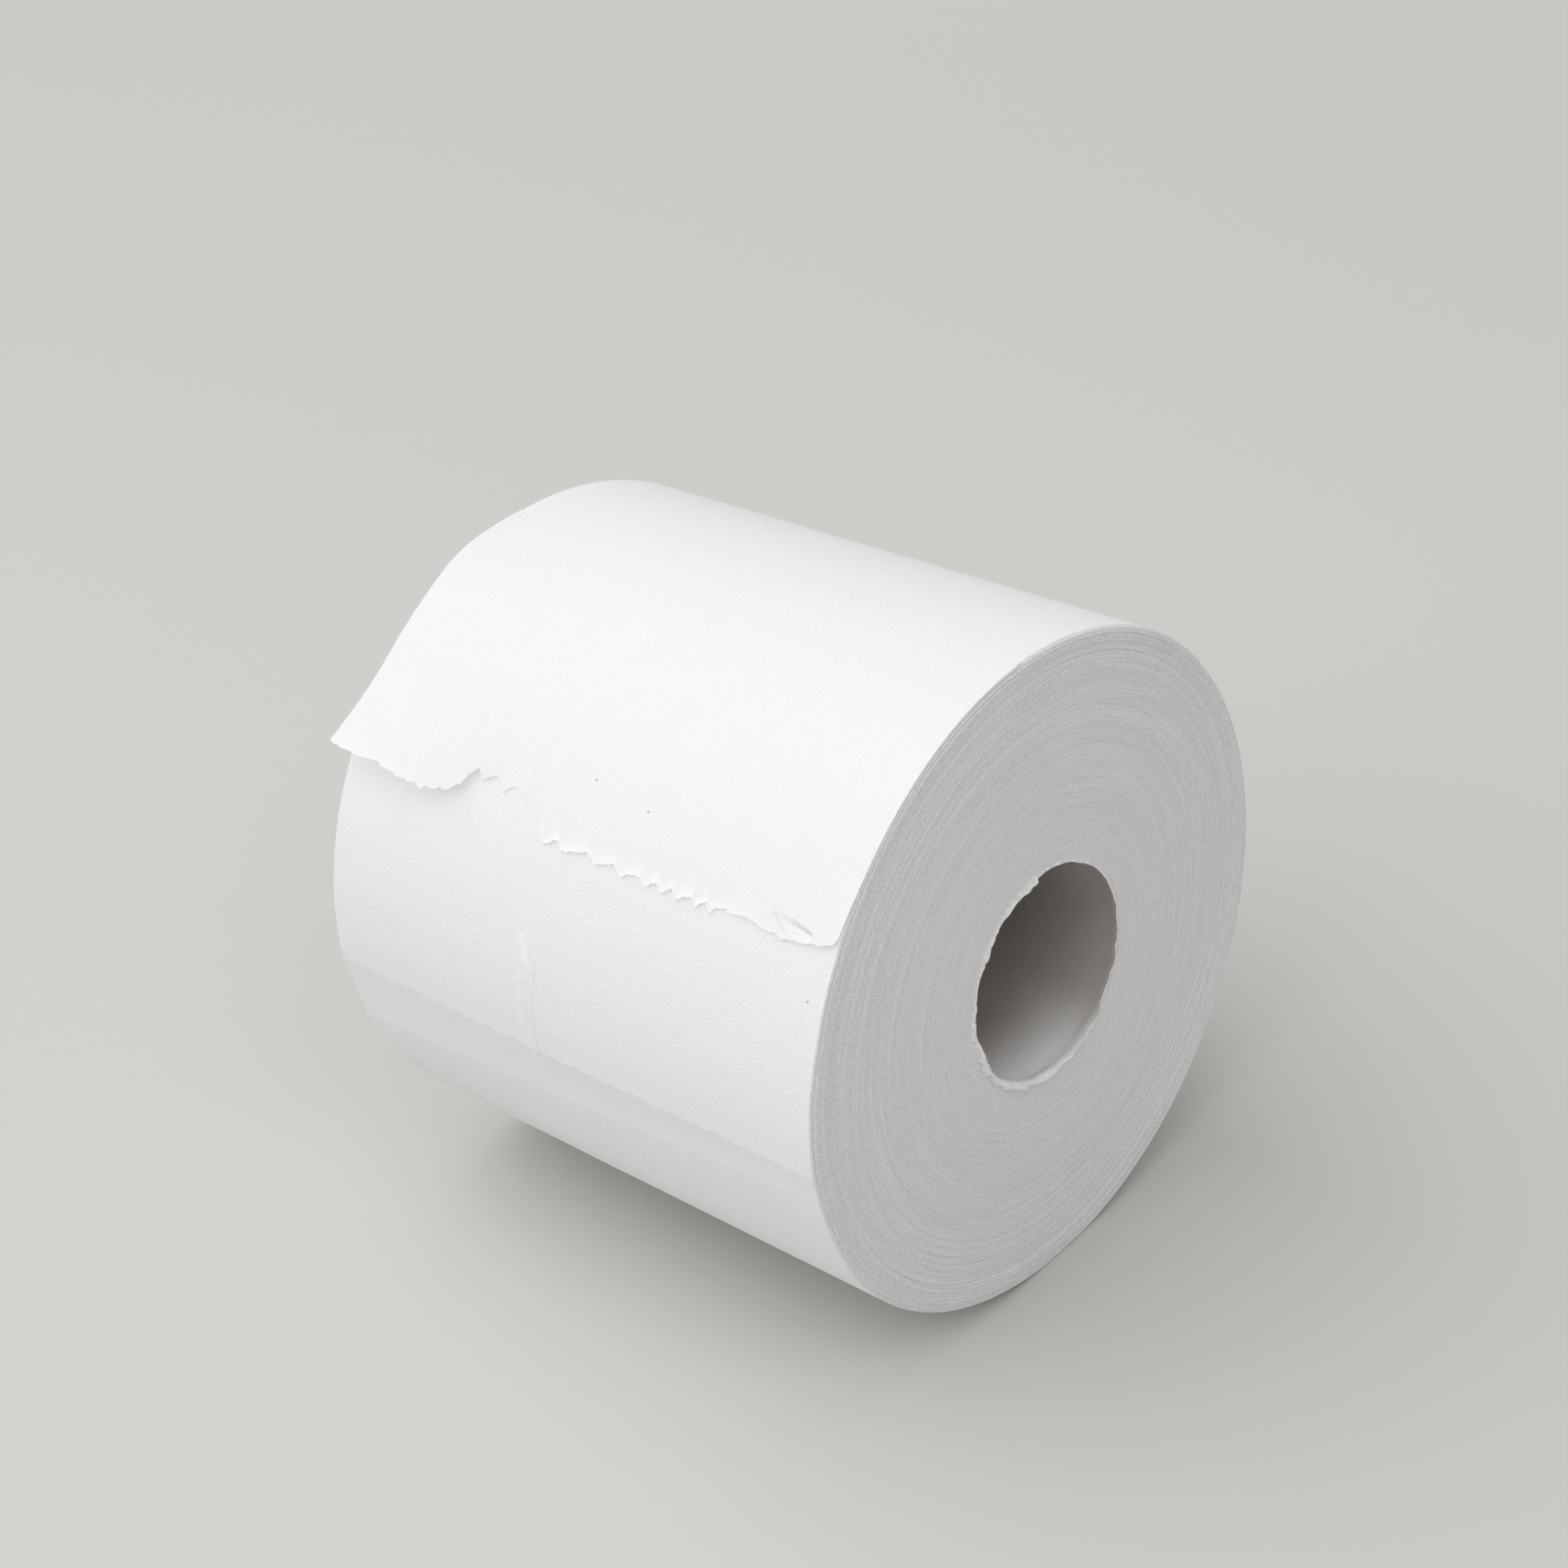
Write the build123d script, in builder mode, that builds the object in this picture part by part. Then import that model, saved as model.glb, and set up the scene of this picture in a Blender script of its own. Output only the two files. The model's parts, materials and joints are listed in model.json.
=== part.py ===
from build123d import *

import math
import os

# A toilet roll wound without an inner tube, lying on its side. It is one long web of soft tissue, so it
# is one solid: the wound turns, the hole left by the winding spindle, and the loose end of the web.
# Millimetres. X runs along the winding axis, the loose end hangs over the front (-Y), and Z is up.
# The origin is the centre of the flat spot that the soft roll rests on.

# Driving dimensions of the wound roll
roll_width = 110.0
roll_diameter = 119.0
bore_diameter = 38.0
flat_spot_width = 12.0
sheet_thickness = 0.4

# Turns on the end faces: a spiral band of turns that stand back behind their neighbours
turn_band = 2.8
turn_setback = 0.4
bore_border = 1.2
rim_border = 1.2

# Loose end of the web, with angles in degrees from the top of the roll towards the front
tail_gap = 0.3
tail_root_angle = 4.0
tail_lift_angle = 38.0
tear_angle = 57.0
tail_spare = 6.0
flick_radius = 68.0
flick_belly = 20.0
belly_radius = 190.0
flick_reach = 36.0

# Torn end: share of the width from the left corner, and how far up the sheet from the tear line
torn_scallop = [(0.00, 2.6), (0.06, 2.2), (0.14, 1.4), (0.20, -0.2), (0.25, 0.6), (0.28, 3.2), (0.31, 6.6)]
torn_bite = [(0.335, 5.1), (0.365, 5.5), (0.395, 4.6), (0.42, 1.3), (0.45, -0.6)]
torn_plain = [(0.88, 0.2), (0.93, -0.4), (0.98, 0.2), (1.00, 1.6)]
tooth_pitch = 4.4
tooth_depth = 1.1

# The outer surface is one turn of a spiral, drawn with two half circles whose centres lie either side of
# the axis. It climbs by the sheet and the slack under it, then leaves as the loose end.
roll_radius = roll_diameter / 2
turn_climb = sheet_thickness + tail_gap
bottom_radius = roll_radius - turn_climb / 2
axis_height = math.sqrt(bottom_radius**2 - (flat_spot_width / 2) ** 2)
axis_plane = Plane(origin=(0, 0, axis_height), x_dir=(0, 1, 0), z_dir=(1, 0, 0))


def across(angle_from_top):
    """Angle in the end view, counted from +Y, of a place given from the top towards the front."""
    return 90 + angle_from_top


def radial(distance, angle):
    """Point of the end view at this distance and angle from the axis."""
    return Vector(distance * math.cos(math.radians(angle)), distance * math.sin(math.radians(angle)))


root = across(tail_root_angle)
lift = across(tail_lift_angle)
inner_centre = radial(-turn_climb / 4, root)
outer_centre = radial(turn_climb / 4, root)
inner_half_radius = roll_radius - turn_climb * 3 / 4
outer_half_radius = roll_radius - turn_climb / 4
tail_inside = inner_half_radius + tail_gap
tail_outside = tail_inside + sheet_thickness


# Loose end past the line where it parts from the roll: settled against the roll over most of its width,
# and flicked outwards at the left, most at the corner. It is longer than needed until the tear trims it.
tail_length = math.radians(tear_angle - tail_lift_angle) * roll_radius + tail_spare
settled_turn = math.degrees(tail_length / tail_outside)

with BuildPart() as tail:
    for from_left, radius in ((0, flick_radius), (flick_belly, belly_radius)):
        centre = inner_centre + radial(tail_outside + radius, lift)
        turn = math.degrees(tail_length / radius)
        with BuildSketch(axis_plane.offset(from_left - roll_width / 2)):
            with BuildLine():
                top_side = CenterArc(centre, radius, lift + 180, -turn)
                under_side = CenterArc(centre, radius + sheet_thickness, lift + 180, -turn)
                Line(top_side @ 0, under_side @ 0)
                Line(top_side @ 1, under_side @ 1)
            make_face()
    for station in (flick_reach - roll_width / 2, roll_width / 2):
        with BuildSketch(axis_plane.offset(station)):
            with BuildLine():
                top_side = CenterArc(inner_centre, tail_outside, lift, settled_turn)
                under_side = CenterArc(inner_centre, tail_inside, lift, settled_turn)
                Line(top_side @ 0, under_side @ 0)
                Line(top_side @ 1, under_side @ 1)
            make_face()
    loft(ruled=True)

    # The web was torn by hand across its perforations, which leaves one scallop, one bite and small teeth.
    tear_normal = (0, -math.sin(math.radians(tear_angle)), math.cos(math.radians(tear_angle)))
    tear_plane = Plane(origin=(0, 0, axis_height), x_dir=(1, 0, 0), z_dir=tear_normal)
    toothed_width = (torn_plain[0][0] - torn_bite[-1][0]) * roll_width
    tooth_count = int(toothed_width / tooth_pitch)
    teeth = []
    for tooth in range(tooth_count):
        valley = torn_bite[-1][0] * roll_width + (tooth + 0.5) * toothed_width / tooth_count
        teeth.append((valley / roll_width, tooth_depth * (1 + 0.4 * math.sin(2.3 * tooth))))
        teeth.append(((valley + tooth_pitch * 0.4) / roll_width, -0.3))
    torn_edge = []
    for share, up_sheet in torn_scallop + torn_bite + teeth + torn_plain:
        torn_edge.append(((share - 0.5) * roll_width, up_sheet))
    with BuildSketch(tear_plane):
        with BuildLine():
            Polyline(*torn_edge)
            Polyline(
                torn_edge[-1],
                (roll_width, torn_edge[-1][1]),
                (roll_width, -tail_length),
                (-roll_width, -tail_length),
                (-roll_width, torn_edge[0][1]),
                torn_edge[0],
            )
        make_face()
    extrude(amount=roll_diameter, mode=Mode.SUBTRACT)


with BuildPart() as paper_roll:
    # Section across the axis: the outer turn, its loose end up to the lift line, the bore and the flat spot.
    with BuildSketch(axis_plane):
        with BuildLine():
            under_turn = CenterArc(inner_centre, inner_half_radius, root, 180)
            over_turn = CenterArc(outer_centre, outer_half_radius, root + 180, 180)
            tail_top = CenterArc(inner_centre, tail_outside, root, lift - root)
            tail_under = CenterArc(inner_centre, tail_inside, root, lift - root)
            Line(tail_top @ 1, tail_under @ 1)
            Line(tail_under @ 0, under_turn @ 0)
        make_face()
        Circle(bore_diameter / 2, mode=Mode.SUBTRACT)
        with Locations((0, -axis_height)):
            Rectangle(roll_diameter, roll_diameter, align=(Align.CENTER, Align.MAX), mode=Mode.SUBTRACT)
    extrude(amount=roll_width / 2, both=True)

    # Turns at both ends, following the way the web is wound: a two-centred spiral from bore to rim.
    centre_shift = turn_band / 2
    first_radius = bore_diameter / 2 + bore_border + centre_shift
    last_radius = roll_radius - turn_climb - rim_border - centre_shift
    half_turns = int((last_radius - first_radius) / turn_band)
    for end_face, inwards in ((roll_width / 2, -1), (-roll_width / 2, 1)):
        with BuildSketch(axis_plane.offset(end_face)):
            with BuildLine():
                for half in range(half_turns):
                    side = -1 if half % 2 == 0 else 1
                    centre = radial(side * centre_shift, root)
                    start = root + 180 * half
                    inner_edge = CenterArc(centre, first_radius + half * turn_band, start, 180)
                    outer_edge = CenterArc(centre, first_radius + (half + 1) * turn_band, start, 180)
                    if half == 0:
                        Line(inner_edge @ 0, outer_edge @ 0)
                Line(inner_edge @ 1, outer_edge @ 1)
            make_face()
        extrude(amount=inwards * turn_setback, mode=Mode.SUBTRACT)

    add(tail.part)

paper_roll.part.label = "paper_roll"

os.makedirs("parts", exist_ok=True)
export_step(paper_roll.part, "parts/paper_roll.step")
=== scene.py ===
import json
import math

import bmesh
import bpy
import numpy as np
from mathutils import Matrix, Vector, noise


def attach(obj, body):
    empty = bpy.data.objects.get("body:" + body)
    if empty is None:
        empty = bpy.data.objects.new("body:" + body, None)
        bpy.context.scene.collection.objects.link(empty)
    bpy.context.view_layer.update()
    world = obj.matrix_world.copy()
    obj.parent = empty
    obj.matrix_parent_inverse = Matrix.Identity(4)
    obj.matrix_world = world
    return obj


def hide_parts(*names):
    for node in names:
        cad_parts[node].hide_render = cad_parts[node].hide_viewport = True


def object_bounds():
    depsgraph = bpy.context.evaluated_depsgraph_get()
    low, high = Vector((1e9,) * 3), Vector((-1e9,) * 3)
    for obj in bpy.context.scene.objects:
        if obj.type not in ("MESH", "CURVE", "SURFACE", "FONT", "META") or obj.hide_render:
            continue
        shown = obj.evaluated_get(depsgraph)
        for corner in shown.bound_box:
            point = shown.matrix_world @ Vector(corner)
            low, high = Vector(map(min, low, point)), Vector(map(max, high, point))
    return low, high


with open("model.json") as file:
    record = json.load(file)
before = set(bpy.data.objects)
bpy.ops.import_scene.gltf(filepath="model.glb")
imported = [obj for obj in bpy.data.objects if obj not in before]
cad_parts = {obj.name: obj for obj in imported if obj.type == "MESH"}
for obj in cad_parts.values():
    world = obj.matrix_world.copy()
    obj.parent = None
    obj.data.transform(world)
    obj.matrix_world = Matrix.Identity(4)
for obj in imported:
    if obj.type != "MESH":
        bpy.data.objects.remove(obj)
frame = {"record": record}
cad_low, cad_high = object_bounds()


# Wound roll
# One long web of soft tissue, wound on a bare spindle that was drawn out again, so the middle is an open bore
# with frayed lips and no tube. The soft edges of the web show on both ends as fine spiral turns, and the
# weight of the roll has pressed a narrow flat along the underside.

# Lengths are in metres, and angles on the roll count from its top towards the front.
bore_mount = next(mount for mount in frame["record"]["mounts"] if mount["name"] == "spindle_bore")
axis_height = bore_mount["pos_m"][2]
bore_radius = bore_mount["dims"]["r_mm"] / 1000
web_width = bore_mount["dims"]["length_mm"] / 1000
half_web = web_width / 2
roll_radius = cad_high.z - axis_height
root_angle = math.radians(4)

turn_count = 57
turn_pitch = (roll_radius - bore_radius) / (turn_count + 1)
turn_ridge = 0.00016
steps_per_turn = 180
wall_steps = 100
bore_steps = 60
weld_distance = 0.00002


def add_node(tree, kind, inputs=None, **settings):
    """Adds a node, sets its properties, and fills or links its inputs by name or number."""
    node = tree.nodes.new(kind)
    for name, value in settings.items():
        setattr(node, name, value)
    for key, value in (inputs or {}).items():
        if isinstance(value, bpy.types.NodeSocket):
            tree.links.new(value, node.inputs[key])
        else:
            node.inputs[key].default_value = value
    return node


def calculate(tree, operation, first, second=0.0):
    """Adds a math node and returns its result."""
    return add_node(tree, "ShaderNodeMath", {0: first, 1: second}, operation=operation).outputs[0]


def combine(tree, operation, values):
    """Takes several values through one math operation, for instance to find the largest of them."""
    result = values[0]
    for value in values[1:]:
        result = calculate(tree, operation, result, value)
    return result


def weighted_sum(tree, first, first_weight, second, second_weight):
    """Adds two values, each multiplied by its own weight."""
    first_part = calculate(tree, "MULTIPLY", first, first_weight)
    second_part = calculate(tree, "MULTIPLY", second, second_weight)
    return calculate(tree, "ADD", first_part, second_part)


def vector_math(tree, operation, first, second=(0.0, 0.0, 0.0)):
    """Adds a vector math node and returns it."""
    return add_node(tree, "ShaderNodeVectorMath", {0: first, 1: second}, operation=operation)


def fade(tree, value, start, end, first=0.0, last=1.0):
    """Adds a smooth step from one value to another as its input runs from start to end."""
    step = add_node(
        tree,
        "ShaderNodeMapRange",
        {"Value": value, "From Min": start, "From Max": end, "To Min": first, "To Max": last},
        interpolation_type="SMOOTHSTEP",
    )
    return step.outputs[0]


def add_noise(tree, vector, scale, detail, roughness=0.5):
    """Adds a noise texture and returns its value."""
    inputs = {"Vector": vector, "Scale": scale, "Detail": detail, "Roughness": roughness}
    return add_node(tree, "ShaderNodeTexNoise", inputs).outputs[0]


def mix_colours(tree, share, first, second):
    """Adds a colour mix and returns its result."""
    mix = add_node(tree, "ShaderNodeMix", {"Factor": share}, data_type="RGBA")
    for socket, value in ((mix.inputs[6], first), (mix.inputs[7], second)):
        if isinstance(value, bpy.types.NodeSocket):
            tree.links.new(value, socket)
        else:
            socket.default_value = (*value, 1)
    return mix.outputs[2]


def shader_group(name, inputs, outputs):
    """Starts a shader group and returns it with its input sockets and its output node."""
    group = bpy.data.node_groups.new(name, "ShaderNodeTree")
    for socket_name, kind in inputs:
        group.interface.new_socket(socket_name, in_out="INPUT", socket_type=kind)
    for socket_name, kind in outputs:
        group.interface.new_socket(socket_name, in_out="OUTPUT", socket_type=kind)
    return group, add_node(group, "NodeGroupInput").outputs, add_node(group, "NodeGroupOutput")


# Soft fibre that every face of the paper shares: fine grain, short creping wrinkles and a slow cloudiness.
cloud_scale = 140.0
fibre, fibre_in, fibre_out = shader_group(
    "tissue_fibre",
    (
        ("Vector", "NodeSocketVector"),
        ("Grain Scale", "NodeSocketFloat"),
        ("Wrinkle Stretch", "NodeSocketVector"),
    ),
    (("Height", "NodeSocketFloat"), ("Cloud", "NodeSocketFloat")),
)
stretched = vector_math(fibre, "MULTIPLY", fibre_in["Vector"], fibre_in["Wrinkle Stretch"]).outputs[0]
grain = add_noise(fibre, fibre_in["Vector"], fibre_in["Grain Scale"], detail=3.0, roughness=0.6)
wrinkles = add_noise(fibre, stretched, fibre_in["Grain Scale"], detail=2.0)
clouds = add_noise(fibre, fibre_in["Vector"], cloud_scale, detail=3.0, roughness=0.55)
fibre.links.new(weighted_sum(fibre, grain, 0.5, wrinkles, 0.5), fibre_out.inputs["Height"])
fibre.links.new(clouds, fibre_out.inputs["Cloud"])

# Place on the roll, for marks that follow its shape: along the axis, angle from the top towards the front,
# distance from the axis, and the direction away from it.
place, place_in, place_out = shader_group(
    "place_on_roll",
    (("Vector", "NodeSocketVector"), ("Axis Height", "NodeSocketFloat")),
    (
        ("Along", "NodeSocketFloat"),
        ("Angle", "NodeSocketFloat"),
        ("Radius", "NodeSocketFloat"),
        ("Around", "NodeSocketVector"),
    ),
)
place_parts = add_node(place, "ShaderNodeSeparateXYZ", {0: place_in["Vector"]}).outputs
height_over_axis = calculate(place, "SUBTRACT", place_parts[2], place_in["Axis Height"])
towards_front = calculate(place, "MULTIPLY", place_parts[1], -1.0)
across_axis = add_node(place, "ShaderNodeCombineXYZ", {1: place_parts[1], 2: height_over_axis}).outputs[0]
angle_from_top = calculate(place, "ARCTAN2", towards_front, height_over_axis)
place.links.new(place_parts[0], place_out.inputs["Along"])
place.links.new(angle_from_top, place_out.inputs["Angle"])
place.links.new(vector_math(place, "LENGTH", across_axis).outputs["Value"], place_out.inputs["Radius"])
place.links.new(vector_math(place, "NORMALIZE", across_axis).outputs[0], place_out.inputs["Around"])


def paper_material(name, grain_scale, wrinkle_stretch):
    """Starts a matte paper material and returns it with its tree, shader, fibre, place and coordinates."""
    material = bpy.data.materials.new(name)
    material.use_nodes = True
    tree = material.node_tree
    shader = tree.nodes["Principled BSDF"]
    shader.inputs["Roughness"].default_value = 0.95
    shader.inputs["Specular IOR Level"].default_value = 0.2
    object_place = add_node(tree, "ShaderNodeTexCoord").outputs["Object"]
    fibre_node = add_node(
        tree,
        "ShaderNodeGroup",
        {"Vector": object_place, "Grain Scale": grain_scale, "Wrinkle Stretch": wrinkle_stretch},
        node_tree=fibre,
    )
    place_node = add_node(
        tree, "ShaderNodeGroup", {"Vector": object_place, "Axis Height": axis_height}, node_tree=place
    )
    return material, tree, shader, fibre_node.outputs, place_node.outputs, object_place


def finish_paper(tree, shader, colour, height, strength, depth):
    """Joins a paper material's colour and relief to its shader."""
    bump = add_node(tree, "ShaderNodeBump", {"Strength": strength, "Distance": depth, "Height": height})
    tree.links.new(colour, shader.inputs["Base Color"])
    tree.links.new(bump.outputs[0], shader.inputs["Normal"])


# Distance of a place on the paper from a straight stroke between two points.
stroke, stroke_in, stroke_out = shader_group(
    "stroke",
    (("Place", "NodeSocketVector"), ("Start", "NodeSocketVector"), ("End", "NodeSocketVector")),
    (("Distance", "NodeSocketFloat"),),
)
stroke_run = vector_math(stroke, "SUBTRACT", stroke_in["End"], stroke_in["Start"]).outputs[0]
from_start = vector_math(stroke, "SUBTRACT", stroke_in["Place"], stroke_in["Start"]).outputs[0]
run_product = vector_math(stroke, "DOT_PRODUCT", from_start, stroke_run).outputs["Value"]
run_square = vector_math(stroke, "DOT_PRODUCT", stroke_run, stroke_run).outputs["Value"]
run_share = add_node(
    stroke, "ShaderNodeMath", {0: run_product, 1: run_square}, operation="DIVIDE", use_clamp=True
).outputs[0]
nearest = add_node(
    stroke, "ShaderNodeVectorMath", {0: stroke_run, "Scale": run_share}, operation="SCALE"
).outputs[0]
stroke_distance = vector_math(stroke, "DISTANCE", from_start, nearest).outputs["Value"]
stroke.links.new(stroke_distance, stroke_out.inputs["Distance"])

# Face of the web: near white, creped across its length, with a rare dark fleck. The outermost turn has a
# narrow strip that was scuffed round the front, and the right corner of the loose end was once folded into a
# dog-ear. These marks run through points in millimetres from the left edge and degrees from the top. Their
# grey lines are painted shade in the creases. The pale of the scuff is partly scuffed fibre and partly
# painted highlight on its raised side, and the pale torn lip of the loose end is a painted highlight where it
# curls up.
web_white = (0.900, 0.902, 0.910)
web_shade = (0.795, 0.797, 0.805)
web_fluff_and_highlight = (0.905, 0.907, 0.913)
fleck_grey = (0.30, 0.30, 0.33)
crease_shade_grey = (0.62, 0.62, 0.63)
scuff_line = [
    (48.8, 75.8), (50.2, 77.9), (50.45, 79.9), (49.75, 83.4), (49.45, 86.9), (49.85, 90.1), (49.9, 94.5),
]
scuff_lit_side = [(from_edge - 0.5, degrees) for from_edge, degrees in scuff_line]
scuff_shade_runs = [
    [(50.4, 78.8), (50.45, 80.1), (49.9, 80.6)],
    [(49.5, 87.2), (49.85, 90.1), (49.9, 94.5)],
]
scuff_shade_smudges = [[(47.7, 81.2), (49.0, 80.8)], [(47.6, 84.6), (48.4, 84.9)]]
scuff_patch = [(46.9, 73.6), (48.2, 77.4)]
scuff_tufts = [
    [(46.4, 80.0), (46.5, 80.7)],
    [(46.8, 83.5), (46.7, 84.3)],
    [(46.7, 87.0), (46.5, 88.4)],
]
ear_thin_fold = [(100.0, 56.7), (97.8, 55.4), (96.85, 54.1), (98.8, 54.0), (100.6, 54.25)]
ear_open_fold = [(100.6, 54.25), (102.7, 54.75), (104.8, 55.35)]
placed_flecks = [(66.7, 47.25), (54.2, 45.5), (106.6, 64.8)]
fleck_length_mm = 0.25
fleck_radius = 0.00013
web_material, web_tree, web_shader, web_fibre, web_place, web_vector = paper_material(
    "tissue_web", grain_scale=2600.0, wrinkle_stretch=(0.45, 1.2, 1.2)
)
web_arc = calculate(web_tree, "MULTIPLY", web_place["Angle"], roll_radius)
web_spot = add_node(web_tree, "ShaderNodeCombineXYZ", {0: web_place["Along"], 1: web_arc}).outputs[0]


def from_stroke(points):
    """Distance of a place on the web from a line through several points."""
    spots = [(u / 1000 - half_web, math.radians(degrees) * roll_radius, 0) for u, degrees in points]
    distances = []
    for first, last in zip(spots, spots[1:]):
        inputs = {"Place": web_spot, "Start": first, "End": last}
        run = add_node(web_tree, "ShaderNodeGroup", inputs, node_tree=stroke)
        distances.append(run.outputs["Distance"])
    return combine(web_tree, "MINIMUM", distances)


def stroke_mask(points, reach, strength=1.0, core=0.0):
    """Mask that has its full strength in the core of a line and fades out towards its reach."""
    return fade(web_tree, from_stroke(points), reach, core, 0.0, strength)


web_tone = weighted_sum(web_tree, web_fibre["Height"], 0.85, web_fibre["Cloud"], 0.15)
web_colour = mix_colours(web_tree, web_tone, web_shade, web_white)

fleck_cells = add_node(web_tree, "ShaderNodeTexVoronoi", {"Vector": web_vector, "Scale": 45.0})
fleck_masks = [calculate(web_tree, "LESS_THAN", fleck_cells.outputs["Distance"], 0.008)]
for from_edge, degrees in placed_flecks:
    fleck_line = [(from_edge, degrees), (from_edge + fleck_length_mm, degrees)]
    fleck_masks.append(calculate(web_tree, "LESS_THAN", from_stroke(fleck_line), fleck_radius))
fleck_share = calculate(web_tree, "MULTIPLY", combine(web_tree, "MAXIMUM", fleck_masks), 0.8)
web_colour = mix_colours(web_tree, fleck_share, web_colour, fleck_grey)

# Pale of the scuff: scuffed fibre, with painted highlight on the side of the scuff that is raised to the
# light.
pale_and_highlight_masks = [
    stroke_mask(scuff_lit_side, reach=0.00050, strength=0.4),
    stroke_mask(scuff_patch, reach=0.0015, strength=0.9, core=0.0002),
]
pale_and_highlight_masks += [stroke_mask(tuft, reach=0.0010, strength=0.85) for tuft in scuff_tufts]
fluff_share = fade(web_tree, web_fibre["Height"], 0.38, 0.55, 0.45, 1.0)
scuff_fluff_and_highlight = calculate(web_tree, "MULTIPLY", combine(web_tree, "MAXIMUM", pale_and_highlight_masks), fluff_share)
# The torn lip of the loose end is painted pale: a painted highlight where it curls up to the light.
torn_lip_highlight = add_node(web_tree, "ShaderNodeAttribute", attribute_name="torn_lip_highlight").outputs["Fac"]
pale_and_highlight_share = calculate(web_tree, "MAXIMUM", scuff_fluff_and_highlight, torn_lip_highlight)
web_colour = mix_colours(web_tree, pale_and_highlight_share, web_colour, web_fluff_and_highlight)

# Grey lines and smudges of the scuff and the dog-ear: painted shade in their creases and in the slit.
scuff_edge = stroke_mask(scuff_line, reach=0.00028)
crease_shade_masks = [calculate(web_tree, "MULTIPLY", scuff_edge, 0.12)]
crease_shade_masks += [stroke_mask(run, reach=0.00030, strength=0.38) for run in scuff_shade_runs]
crease_shade_masks += [stroke_mask(smudge, reach=0.0008, strength=0.12) for smudge in scuff_shade_smudges]
crease_shade_masks.append(stroke_mask(ear_thin_fold, reach=0.00016, strength=0.38))
crease_shade_masks.append(stroke_mask(ear_open_fold, reach=0.00034, strength=0.38, core=0.0001))
web_colour = mix_colours(web_tree, combine(web_tree, "MAXIMUM", crease_shade_masks), web_colour, crease_shade_grey)

scuff_dip = calculate(web_tree, "MULTIPLY", scuff_edge, 0.4)
web_height = calculate(web_tree, "SUBTRACT", web_fibre["Height"], scuff_dip)
finish_paper(web_tree, web_shader, web_colour, web_height, strength=0.7, depth=0.00025)

# Cut edges of the turns on the ends: greyer, with painted shade for the light that sinks in between them, and
# ringed with painted shade between the turns, most clearly near the rim. Round the bore they are fluffed up
# and pale again.
edge_grain_shade_light = (0.865, 0.86, 0.865)
edge_grain_shade_dark = (0.70, 0.695, 0.70)
lip_and_lit_white = (0.93, 0.93, 0.935)
rings_per_metre = 1450.0
ring_wander = (1.1, 1.1, 1.1)
fray_scale = 800.0
fray_depth = 0.0026
edge_material, edge_tree, edge_shader, edge_fibre, edge_place, edge_vector = paper_material(
    "tissue_cut_edges", grain_scale=2400.0, wrinkle_stretch=(1.0, 1.0, 1.0)
)
edge_radius = edge_place["Radius"]
# Rings of painted shade between the turns, over the felt grain of the paper itself.
slow_around = vector_math(edge_tree, "MULTIPLY", edge_place["Around"], ring_wander).outputs[0]
ring_number = calculate(edge_tree, "MULTIPLY", edge_radius, rings_per_metre)
ring_offset = add_node(edge_tree, "ShaderNodeCombineXYZ", {0: ring_number}).outputs[0]
ring_place = vector_math(edge_tree, "ADD", slow_around, ring_offset).outputs[0]
rings = add_noise(edge_tree, ring_place, scale=1.0, detail=2.0, roughness=0.75)
ring_strength = fade(edge_tree, edge_radius, bore_radius + 0.004, roll_radius, 0.35, 1.0)
ring_tone = calculate(edge_tree, "MULTIPLY", calculate(edge_tree, "SUBTRACT", rings, 0.5), ring_strength)
felt_tone = calculate(edge_tree, "SUBTRACT", edge_fibre["Height"], 0.5)
edge_tone = calculate(edge_tree, "ADD", weighted_sum(edge_tree, ring_tone, 2.0, felt_tone, 2.8), 0.6)
edge_colour = mix_colours(edge_tree, edge_tone, edge_grain_shade_dark, edge_grain_shade_light)

fray = add_noise(edge_tree, edge_vector, fray_scale, detail=3.0)
fray_shift = calculate(edge_tree, "MULTIPLY", calculate(edge_tree, "SUBTRACT", fray, 0.5), fray_depth)
frayed_radius = calculate(edge_tree, "ADD", edge_radius, fray_shift)
lip_share = fade(edge_tree, frayed_radius, bore_radius + 0.0014, bore_radius + 0.0005)
edge_colour = mix_colours(edge_tree, lip_share, edge_colour, lip_and_lit_white)

fray_height = calculate(edge_tree, "MULTIPLY", fray, calculate(edge_tree, "MULTIPLY", lip_share, 4.0))
edge_height = weighted_sum(edge_tree, ring_tone, 1.2, edge_fibre["Height"], 0.9)
edge_height = calculate(edge_tree, "ADD", edge_height, fray_height)
finish_paper(edge_tree, edge_shader, edge_colour, edge_height, strength=0.6, depth=0.0003)

# Wall of the bore: the innermost turn, darker and warmer than the web, which is painted shade inside the
# bore.
# It is painted pale again low down at the mouths, a little towards the front: painted light where light falls
# in through the mouths, and the pale of the paper where it frays out most.
bore_shade_light = (0.445, 0.412, 0.379)
bore_shade_dark = (0.362, 0.330, 0.302)
lit_mouth_start = 0.019
lit_mouth_full = 0.002
frayed_turn = math.radians(20)
bore_material, bore_tree, bore_shader, bore_fibre, bore_place = paper_material(
    "tissue_bore", grain_scale=1500.0, wrinkle_stretch=(0.15, 1.0, 1.0)
)[:5]
# Cloudy dark tone: painted shade inside the bore.
bore_shaded_colour = mix_colours(bore_tree, bore_fibre["Cloud"], bore_shade_dark, bore_shade_light)
from_middle = calculate(bore_tree, "ABSOLUTE", bore_place["Along"])
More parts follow.
